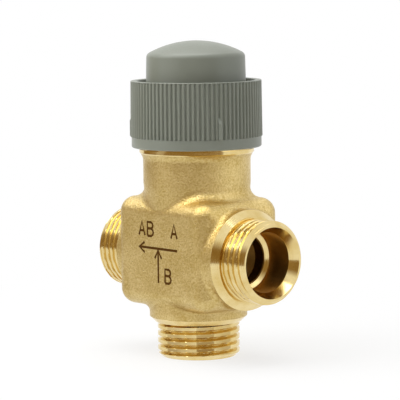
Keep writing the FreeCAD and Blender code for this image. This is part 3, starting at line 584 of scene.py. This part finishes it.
# Takes the forging down to a thin core, hidden inside the wall of a port's turned end
def turnDown(shell, foot, axis, start, end):
    size = threadSize
    near = bodySize["near"] * mm
    slack = size["coreSlack"]
    socketEnd = end - size["socketDepth"] * mm
    for vertex in shell.verts:
        along = (vertex.co - foot).dot(axis)
        outward = vertex.co - foot - axis * along
        if outward.length > bodySize["boreRadius"] * mm:
            if along > start + near:
                along = min(along, end - size["coreReach"] * mm)
                vertex.co = foot + axis * along + outward.normalized() * size["coreRadius"] * mm
        elif along > socketEnd - near and outward.length > (size["socketRadius"] - slack) * mm:
            vertex.co += outward.normalized() * (size["coreInside"] - size["socketRadius"]) * mm
        elif abs(along - socketEnd) < near:
            vertex.co -= axis * (size["stepCone"] + slack) * mm


# Adds a port's turned end, with its grooves where the photo shows them
def addPortEnd(shell, portName, reach):
    size = threadSize
    edge, start, side, firstGroove = size["ports"][portName]
    mount = mounts[portName]
    axis = Vector(mount["axis"])
    place = Vector(mount["pos_m"])
    foot = place - axis * place.dot(axis)    # where the port's axis meets the middle of the valve
    turnDown(shell, foot, axis, edge * mm, reach)
    points = portProfile(reach / mm - start, start - edge, mount["dims"]["r_mm"])
    thread = makeThread(points, size["portPitch"], turnedBrassSide if axis.z == 0 else turnedBrassUpright)
    upright = axis.to_track_quat("Z", "Y")
    local = upright.inverted() @ Vector(side)
    turn = math.atan2(local.y, local.x) - 2 * math.pi * firstGroove / size["portPitch"]
    thread.transform(Matrix.Translation(foot + axis * start * mm) @ upright.to_matrix().to_4x4()
                     @ Matrix.Rotation(turn, 4, "Z"))
    for face in thread.polygons:
        face.material_index = finishOf(face.center, face.normal, portEnd=True)
    shell.from_mesh(thread)


# Adds the thread that carries the cap, round a core taken down from the solid's plain cylinder
def addCapThread(shell):
    size = threadSize
    core = size["capCore"] * mm
    for vertex in shell.verts:
        fromStem = math.hypot(vertex.co.x, vertex.co.y)
        if vertex.co.z > size["capBottom"] * mm - hair and fromStem > core:
            vertex.co.x *= core / fromStem
            vertex.co.y *= core / fromStem
    length = size["capTop"] - size["capBottom"] - size["setBack"]
    bevel = (size["capMajor"] - size["capBevel"], size["capBevel"])
    points = [(size["capBack"], length, 0), (size["capBack"], 0, 0)]
    points += threadRows(length, size["capMajor"], size["capMinor"], size["capPitch"], bevel, bevel)
    thread = makeThread(points + points[:1], size["capPitch"], turnedBrassUpright)
    thread.transform(Matrix.Translation((0, 0, size["capBottom"] * mm)))
    for face in thread.polygons:
        face.material_index = turnedUpright
    shell.from_mesh(thread)


def makeBody():
    shell = bmesh.new()
    shell.from_mesh(frame["nodes"]["valve_body"].data)
    bmesh.ops.remove_doubles(shell, verts=shell.verts, dist=hair)
    for face in shell.faces:
        face.material_index = finishOf(face.calc_center_median(), face.normal)
    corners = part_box("valve_body")
    for portName in threadSize["ports"]:
        axis = Vector(mounts[portName]["axis"])
        addPortEnd(shell, portName, max(corner.dot(axis) for corner in corners) - hair)
    addCapThread(shell)
    mesh = bpy.data.meshes.new("valve_body_brass")
    shell.to_mesh(mesh)
    shell.free()
    for material in bodyMaterials:
        mesh.materials.append(material)
    body = makePiece("valve_body_brass", mesh, "valve", bodySize["sharpAngle"])
    flat = body.modifiers.new("flatFacesStayFlat", "WEIGHTED_NORMAL")
    flat.keep_sharp = True
    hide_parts("valve_body")


makeBody()
print("body dressed, with its threads")

capSize = {
    "skirtRadius": 16.5,
    "skirtRound": 0.5,
    "skirtBevel": 0.6,
    "boreRadius": 15.03,
    "knurlBottom": 56.1,
    "knurlRows": 8,
    "knurlEase": 0.1,        # bevel at the lower end of the ribs
    "skirtEase": 0.02,       # rounds the skirt's edge below them
    "skirtFold": 0.05,
    "crestBottom": 16.75,
    "crestTop": 16.6,
    "gapRadius": 16.2,
    "gapTop": 70.15,
    "gapEnd": 0.2,           # length over which a gap runs out at its top, and in how many steps
    "gapEndSteps": 4,
    "ringTop": 70.3,
    "ringRound": 0.15,
    "innerRound": 0.25,
    "grooveRadius": 15.0,
    "webTop": 66.0,
    "webBottom": 64.0,
    "domeFoot": 12.75,
    "domeShoulder": 12.5,
    "domeSphere": 25.0,
    "domeRound": 1.5,
    "wall": 1.8,
    "bossRadius": 3.5,
    "ribs": 87,
    "columnsPerRib": 8,
    "floorShare": 0.30,
    "crestShare": 0.44,
    "markers": 3,
    "markerAngle": -20.0,    # degrees round the stem
    "markerRadius": 17.15,
    "markerWidth": 1.0,
    "markerShoulder": 60.1,
    "markerTip": 61.6,
    "markerRoot": 0.3,       # how deep a pointer rib stands in the knurl
    "markerEdge": 0.16,
}


# Section of the cap from the bore's lower edge, outside up to the dome's middle, and back inside
def capProfile():
    size = capSize
    low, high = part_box("manual_cap")
    skirtBottom, domeTop = low.z / mm, (high.z - hair) / mm
    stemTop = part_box("stem")[1].z / mm
    sphereCentre = domeTop - size["domeSphere"]
    shoulderHeight = sphereCentre + math.sqrt(size["domeSphere"] ** 2 - size["domeShoulder"] ** 2)
    slope = (size["domeFoot"] - size["domeShoulder"]) / (shoulderHeight - size["webTop"])
    # centre of the shoulder's rounding, found in a few rounds: it touches the side and the sphere from inside
    roundHeight = shoulderHeight
    reach = size["domeSphere"] - size["domeRound"]
    for attempt in range(6):
        roundRadius = size["domeFoot"] - slope * (roundHeight - size["webTop"]) - size["domeRound"]
        roundHeight = sphereCentre + math.sqrt(reach ** 2 - roundRadius ** 2)
    turnAngle = math.degrees(math.atan2(roundHeight - sphereCentre, roundRadius))
    boreEdge = (size["boreRadius"] + size["skirtBevel"], skirtBottom)
    plain = [boreEdge]
    plain += arcPoints((size["skirtRadius"] - size["skirtRound"], skirtBottom + size["skirtRound"]),
                       size["skirtRound"], -90, 0, steps=5)
    plain += [(size["skirtRadius"] - size["skirtEase"], size["knurlBottom"] - size["skirtEase"]),
              (size["skirtRadius"] - size["skirtFold"], size["knurlBottom"])]
    outer = [(radius, height, 0) for radius, height in plain]
    ease, rows = size["knurlEase"], size["knurlRows"]
    gapDepth = size["crestBottom"] - size["gapRadius"]
    outer.append((size["crestBottom"] - ease, size["knurlBottom"], gapDepth - ease))
    straight = size["gapTop"] - size["gapEnd"] - size["knurlBottom"]
    for row in range(rows + 1):
        height = size["knurlBottom"] + ease + (straight - ease) * row / rows
        share = (height - size["knurlBottom"]) / (size["ringTop"] - size["knurlBottom"])
        radius = size["crestBottom"] + (size["crestTop"] - size["crestBottom"]) * share
        outer.append((radius, height, radius - size["gapRadius"]))
    for step in range(size["gapEndSteps"]):
        share = (step + 1) / size["gapEndSteps"]
        depth = (outer[-1][0] - size["gapRadius"]) * math.sqrt(1 - share ** 2)
        outer.append((size["crestTop"], size["gapTop"] - size["gapEnd"] * (1 - share), depth))
    plain = arcPoints((size["crestTop"] - size["ringRound"], size["ringTop"] - size["ringRound"]),
                      size["ringRound"], 0, 90, steps=6)
    plain += arcPoints((size["grooveRadius"] + size["innerRound"], size["ringTop"] - size["innerRound"]),
                       size["innerRound"], 90, 180, steps=4)
    plain += arcPoints((size["grooveRadius"] - size["innerRound"], size["webTop"] + size["innerRound"]),
                       size["innerRound"], 0, -90, steps=4)
    plain += arcPoints((size["domeFoot"] + size["innerRound"], size["webTop"] + size["innerRound"]),
                       size["innerRound"], 270, 180, steps=4)
    plain += arcPoints((roundRadius, roundHeight), size["domeRound"], 0, turnAngle, steps=8)
    plain += arcPoints((0, sphereCentre), size["domeSphere"], turnAngle, 90, steps=14)[1:]
    inside = size["domeSphere"] - size["wall"]
    bossAngle = math.degrees(math.acos(size["bossRadius"] / inside))
    wallAngle = math.degrees(math.acos((size["domeShoulder"] - size["wall"]) / inside))
    plain += [(0, stemTop), (size["bossRadius"], stemTop)]
    plain += arcPoints((0, sphereCentre), inside, bossAngle, wallAngle, steps=6)
    plain += [(size["domeFoot"] - size["wall"], size["webBottom"]), (size["boreRadius"], size["webBottom"]),
              (size["boreRadius"], skirtBottom + size["skirtBevel"]), boreEdge]
    outer += [(radius, height, 0) for radius, height in plain]
    return [(max(0, radius) * mm, height * mm, cut * mm) for radius, height, cut in outer]


# One pointer rib, standing on the knurl along +X, with a sloping tip and softened edges
def markerMesh():
    size = capSize
    half = size["markerWidth"] / 2
    inner = size["gapRadius"] - size["markerRoot"]
    side = [(inner, size["knurlBottom"]), (size["markerRadius"], size["knurlBottom"]),
            (size["markerRadius"], size["markerShoulder"]), (size["gapRadius"], size["markerTip"]),
            (inner, size["markerTip"])]
    shell = bmesh.new()
    walls = [[shell.verts.new((x * mm, y * mm, z * mm)) for x, z in side] for y in (-half, half)]
    shell.faces.new(walls[0])
    shell.faces.new(reversed(walls[1]))
    for near, far in zip(range(len(side)), [*range(1, len(side)), 0]):
        shell.faces.new((walls[0][near], walls[1][near], walls[1][far], walls[0][far]))
    bmesh.ops.recalc_face_normals(shell, faces=shell.faces)
    standing = (inner + size["markerRoot"] / 2) * mm
    soft = [edge for edge in shell.edges if min(vertex.co.x for vertex in edge.verts) > standing]
    bmesh.ops.bevel(shell, geom=soft, offset=size["markerEdge"] * mm, segments=3, profile=0.5, affect="EDGES")
    mesh = bpy.data.meshes.new("marker")
    shell.to_mesh(mesh)
    shell.free()
    return mesh


def makeCap():
    size = capSize
    mesh = runTree(turningTree, profileMesh(capProfile()), {
        "Columns": size["ribs"] * size["columnsPerRib"],
        "Cuts Round": float(size["ribs"]), "Per Length": 0.0,
        "Floor Share": size["floorShare"], "Crest Share": size["crestShare"], "Material": capPlastic})
    faceOutwards(mesh)
    markers = runTree(roundTree, markerMesh(), {
        "Count": size["markers"], "First Turn": math.radians(size["markerAngle"]), "Material": capPlastic})
    shell = bmesh.new()
    shell.from_mesh(mesh)
    shell.from_mesh(markers)
    shell.to_mesh(mesh)
    shell.free()
    cap = makePiece("manual_cap_moulding", mesh, "cap")
    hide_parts("manual_cap")


makeCap()
print("cap moulded")

springSize = {
    "wireRadius": 0.45,
    "turns": 6.0,
    "stepsPerTurn": 48,
    "wireSides": 12,
    "closedShare": 0.6,      # how much of the rise is held back at the ends
}


# The return spring stretches between the body and the stem's retainer
def makeSpring():
    low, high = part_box("return_spring")
    wire = springSize["wireRadius"] * mm
    seed = bpy.data.meshes.new("springSeed")
    mesh = runTree(coilTree, seed, {
        "Coil Radius": high.x - wire, "Wire Radius": wire, "Turns": springSize["turns"],
        "Steps Per Turn": springSize["stepsPerTurn"], "Wire Sides": springSize["wireSides"],
        "Closed Share": springSize["closedShare"],
        "Bottom": low.z + wire, "Height": high.z - low.z - 2 * wire,
        "Material": innerMaterials["springSteelBright"]})
    faceOutwards(mesh)
    mesh.shade_smooth()
    spring = bpy.data.objects.new("return_spring_coil", mesh)
    bpy.context.scene.collection.objects.link(spring)
    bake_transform(spring)
    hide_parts("return_spring")


makeSpring()
print("spring wound")

innerFinish = {
    # The seat ring and plug carrier take the painted shade of the waterway
    "brassPaintedShadeInWaterway": ["upper_seat_ring", "plug_carrier"],
    "brassTurnedAlongStem": ["bonnet", "gland_nut", "spring_retainer"],
    "stainlessSteelDrawn": ["stem", "plug_washer", "plug_nut", "spring_seat_washer"],
    "springSteelBright": ["retaining_clip"],
    "epdmRubberMoulded": ["seat_o_ring", "bonnet_o_ring", "lower_stem_o_ring", "upper_stem_o_ring",
                          "upper_sealing_disc", "lower_sealing_disc"],
    "ptfeTurned": ["stem_backing_washer"],
}
for materialName, nodeNames in innerFinish.items():
    for nodeName in nodeNames:
        nodeMesh = frame["nodes"][nodeName].data
        nodeMesh.materials.clear()
        nodeMesh.materials.append(bpy.data.materials[materialName])
print("inner pieces finished:", sum(len(nodeNames) for nodeNames in innerFinish.values()))

markSize = {
    "face": -13.2,           # where the forged face lies along Y
    "middle": (0.0, 27.5),   # middle of the mark along X and Z
    "stroke": 0.66,
    "flatness": 0.06,        # share of its roundness that a stroke keeps
    "letterHeight": 3.5,
    "letterWidth": 2.3,
    # each letter with its left and lower edge, and the arrows' strokes, from the middle of the mark
    "letters": [("A", -7.4, 3.9), ("B", -4.1, 3.9), ("A", 5.1, 3.9), ("B", 2.6, -7.6)],
    "arrows": [[(7.4, 0.9), (-7.4, 0.9)], [(-5.3, 2.2), (-7.4, 0.9), (-5.3, -0.4)],
               [(0, -7.8), (0, 0.9)], [(-1.3, -1.6), (0, 0.5), (1.3, -1.6)]],
}

# Strokes of a letter in a box one unit wide and high
letterStrokes = {
    "A": [[(0, 0), (0.5, 1), (1, 0)], [(0.18, 0.34), (0.82, 0.34)]],
    "B": [[(0, 0), (0, 1), (0.62, 1), (0.86, 0.9), (0.92, 0.77), (0.86, 0.63), (0.62, 0.54), (0, 0.54)],
          [(0.62, 0.54), (0.9, 0.43), (1, 0.27), (0.9, 0.1), (0.62, 0), (0, 0)]],
}


# Port letters and flow arrows: A comes from the right, B from below, and the mixed flow leaves to the left
def markStrokes():
    width, height = markSize["letterWidth"], markSize["letterHeight"]
    strokes = list(markSize["arrows"])
    for letter, left, bottom in markSize["letters"]:
        for stroke in letterStrokes[letter]:
            strokes.append([(left + x * width, bottom + z * height) for x, z in stroke])
    return strokes


def makeMark():
    size = markSize
    curve = bpy.data.curves.new("markRoute", "CURVE")
    curve.dimensions = "3D"
    curve.bevel_depth = size["stroke"] * mm / 2
    curve.bevel_resolution = 3
    curve.use_fill_caps = True
    for stroke in markStrokes():
        spline = curve.splines.new("POLY")
        spline.points.add(len(stroke) - 1)
        for point, (x, z) in zip(spline.points, stroke):
            point.co = (x * mm, 0, z * mm, 1)
    carrier = bpy.data.objects.new("markCarrier", curve)
    bpy.context.scene.collection.objects.link(carrier)
    depsgraph = bpy.context.evaluated_depsgraph_get()
    mesh = bpy.data.meshes.new_from_object(carrier.evaluated_get(depsgraph), depsgraph=depsgraph)
    bpy.data.objects.remove(carrier)
    middleX, middleZ = size["middle"]
    mesh.transform(Matrix.Translation((middleX * mm, size["face"] * mm, middleZ * mm))
                   @ Matrix.Diagonal((1, size["flatness"], 1, 1)))
    mesh.materials.clear()
    mesh.materials.append(markedBrass)
    makePiece("flow_mark", mesh, "valve")


makeMark()
print("flow mark burnt in")

cameraView = {
    "azimuth": 49.28,
    "elevation": 5.8,
    "distance": 0.59,
    "aim": (0, 0, 0.040),
    "lens": 208.6,
    "roll": -0.65,
    "shiftX": 0.00676,
    "shiftY": -0.00268,
}


def makeCamera():
    view = cameraView
    azimuth, elevation = math.radians(view["azimuth"]), math.radians(view["elevation"])
    back = Vector((math.sin(azimuth) * math.cos(elevation), -math.cos(azimuth) * math.cos(elevation),
                   math.sin(elevation)))
    lens = bpy.data.cameras.new("photoLens")
    lens.lens = view["lens"]
    lens.shift_x = view["shiftX"]
    lens.shift_y = view["shiftY"]
    camera = bpy.data.objects.new("photoCamera", lens)
    bpy.context.scene.collection.objects.link(camera)
    rolled = Matrix.Rotation(math.radians(view["roll"]), 4, "Z")
    camera.matrix_world = (Matrix.Translation(Vector(view["aim"]) + back * view["distance"])
                           @ (-back).to_track_quat("-Z", "Y").to_matrix().to_4x4() @ rolled)
    bpy.context.scene.camera = camera


makeCamera()

stageLook = {
    "floor": "#F7F7F6",
    "floorSize": 4.0,
    "nearWhite": 0.75,       # share of plain white in the floor beside the object
    "fadeFrom": 0.03,        # m from the stem, where the floor starts to turn all white
    "fadeTo": 0.14,
    "worldFill": 0.28,       # the world's light on the object, where 1 is the white that the camera sees
    "lampAim": (0, 0, 0.035),
}


# White paper floor: it keeps the shadow near the object, fades to plain white, and is white in reflections
def makeFloor():
    look = stageLook
    material, tree = newMaterial("whitePaperFloor")
    place = addNode(tree, "ShaderNodeTexCoord").outputs["Object"]
    away = addNode(tree, "ShaderNodeVectorMath", {"operation": "LENGTH"}, {0: place})
    fade = addNode(tree, "ShaderNodeMapRange", {"interpolation_type": "SMOOTHSTEP"}, {
        "Value": away.outputs["Value"], "From Min": look["fadeFrom"], "From Max": look["fadeTo"],
        "To Min": look["nearWhite"]})
    light = addNode(tree, "ShaderNodeLightPath")
    seen = addNode(tree, "ShaderNodeMath", {"operation": "MULTIPLY"}, {
        0: fade.outputs["Result"], 1: light.outputs["Is Camera Ray"]})
    mirrored = addNode(tree, "ShaderNodeMath", {"operation": "MAXIMUM"}, {
        0: light.outputs["Is Glossy Ray"], 1: light.outputs["Is Transmission Ray"]})
    factor = addNode(tree, "ShaderNodeMath", {"operation": "MAXIMUM"}, {
        0: seen.outputs[0], 1: mirrored.outputs[0]})
    paper = addNode(tree, "ShaderNodeBsdfDiffuse", inputs={"Color": linearColour(look["floor"])})
    white = addNode(tree, "ShaderNodeEmission", inputs={"Color": (1, 1, 1, 1), "Strength": 1.0})
    mixed = addNode(tree, "ShaderNodeMixShader", inputs={
        0: factor.outputs[0], 1: paper.outputs["BSDF"], 2: white.outputs["Emission"]})
    addNode(tree, "ShaderNodeOutputMaterial", inputs={"Surface": mixed.outputs["Shader"]})
    half = look["floorSize"] / 2
    mesh = bpy.data.meshes.new("floor")
    corners = [(-half, -half, 0), (half, -half, 0), (half, half, 0), (-half, half, 0)]
    mesh.from_pydata(corners, [], [(0, 1, 2, 3)])
    mesh.materials.append(material)
    floor = bpy.data.objects.new("floor", mesh)
    bpy.context.scene.collection.objects.link(floor)


def makeWorld():
    world = bpy.data.worlds.new("whiteRoom")
    bpy.context.scene.world = world
    world.use_nodes = True
    tree = world.node_tree
    tree.nodes.clear()
    light = addNode(tree, "ShaderNodeLightPath")
    seen = addNode(tree, "ShaderNodeMath", {"operation": "MAXIMUM"}, {
        0: light.outputs["Is Camera Ray"], 1: light.outputs["Is Glossy Ray"]})
    shown = addNode(tree, "ShaderNodeMath", {"operation": "MAXIMUM"}, {
        0: seen.outputs[0], 1: light.outputs["Is Transmission Ray"]})
    strength = addNode(tree, "ShaderNodeMapRange", inputs={
        "Value": shown.outputs[0], "To Min": stageLook["worldFill"], "To Max": 1.0})
    room = addNode(tree, "ShaderNodeBackground", inputs={
        "Color": (1, 1, 1, 1), "Strength": strength.outputs["Result"]})
    addNode(tree, "ShaderNodeOutputWorld", inputs={"Surface": room.outputs["Background"]})


# Painted reflections: a glowing dim wall and dark cards that only glossy rays see
dimRoom = {
    "colour": "#95794A",
    "paleFrom": 0.55,        # share of a wall's height at which it starts to pale
    # foot of the wall behind the camera in m, the height above it, and how pale it is there, 0 to 1
    "wall": [(-0.34, -0.05, 0.20, 0), (-0.262, -0.312, 0.24, 0), (-0.24, -0.322, 0.24, 0.65),
             (-0.12, -0.335, 0.26, 0.65), (-0.09, -0.337, 0.26, 0), (0.07, -0.20, 0.20, 0),
             (0.22, -0.24, 0.24, 0), (0.37, -0.06, 0.24, 0), (0.38, 0.08, 0.20, 0)],
    # feet of three cards round the lower port in m, and how pale they are there: they paint the floor's shade
    # under the right port into the reflections on the lower port's thread
    "cards": [
        [(-0.0068, -0.0161, 0.66), (0, -0.0175, 0.66), (0.0045, -0.0169, 0.80), (0.0119, -0.0128, 0.90)],
        [(0.0122, -0.0125, 0.55), (0.0152, -0.0087, 0.55), (0.0168, -0.0055, 0.55), (0.0173, -0.0030, 0.55)],
        [(0.0174, -0.0024, 0.82), (0.0172, 0.0030, 0.75), (0.0148, 0.0093, 0.70)],
    ],
    "cardHeight": 0.012,
}


# Dim wall and cards, which only reflections show: painted reflections that draw the dark bands on turned
# metal, and a paler stretch on the wall that brightens the thread flanks
def makeDimRoom():
    look = dimRoom
    material, tree = newMaterial("dimRoomPaintedReflection")
    place = addNode(tree, "ShaderNodeTexCoord").outputs["UV"]
    level = addNode(tree, "ShaderNodeSeparateXYZ", inputs={"Vector": place})
    glow = addNode(tree, "ShaderNodeMapRange", inputs={
        "Value": level.outputs["Y"], "From Min": look["paleFrom"]})
    tone = addNode(tree, "ShaderNodeMix", {"data_type": "RGBA"}, {
        0: glow.outputs["Result"], 6: linearColour(look["colour"]), 7: (1, 1, 1, 1)})
    dim = addNode(tree, "ShaderNodeEmission", inputs={"Color": tone.outputs[2]})
    addNode(tree, "ShaderNodeOutputMaterial", inputs={"Surface": dim.outputs["Emission"]})
    walls = [look["wall"]]
    walls += [[(x, y, look["cardHeight"], pale) for x, y, pale in card] for card in look["cards"]]
    spots, faces, tones = [], [], []
    for wall in walls:
        for step, (x, y, height, pale) in enumerate(wall):
            if step:
                last = len(spots)
                faces.append((last - 2, last, last + 1, last - 1))
            spots += [(x, y, 0), (x, y, height)]
            tones += [pale, 1]
    mesh = bpy.data.meshes.new("dimRoom")
    mesh.from_pydata(spots, [], faces)
    levels = mesh.uv_layers.new(name="UVMap")
    for corner, loop in zip(levels.data, mesh.loops):
        corner.uv = (0, tones[loop.vertex_index])
    mesh.materials.append(material)
    room = bpy.data.objects.new("dimRoom", mesh)
    bpy.context.scene.collection.objects.link(room)
    for rays in ("camera", "diffuse", "transmission", "volume_scatter", "shadow"):
        setattr(room, f"visible_{rays}", False)


lamps = {
    # name: place in m, width and depth in m, power in W
    "overheadSoftbox": ((-0.05, -0.05, 0.60), 0.55, 0.55, 2.8),
    "frontLeftSoftbox": ((-0.25, -0.52, 0.44), 0.60, 0.60, 2.4),
    "rightSoftbox": ((0.48, 0.30, 0.30), 0.35, 0.45, 0.25),
}


def makeLamps():
    for name, (place, width, depth, power) in lamps.items():
        lamp = bpy.data.lights.new(name, "AREA")
        lamp.shape = "RECTANGLE"
        lamp.size = width
        lamp.size_y = depth
        lamp.energy = power
        holder = bpy.data.objects.new(name, lamp)
        bpy.context.scene.collection.objects.link(holder)
        aim = Vector(stageLook["lampAim"]) - Vector(place)
        holder.matrix_world = Matrix.Translation(place) @ aim.to_track_quat("-Z", "Y").to_matrix().to_4x4()


makeFloor()
makeWorld()
makeLamps()
makeDimRoom()
bpy.context.scene.view_settings.view_transform = "Standard"
print("stage, light and camera set")
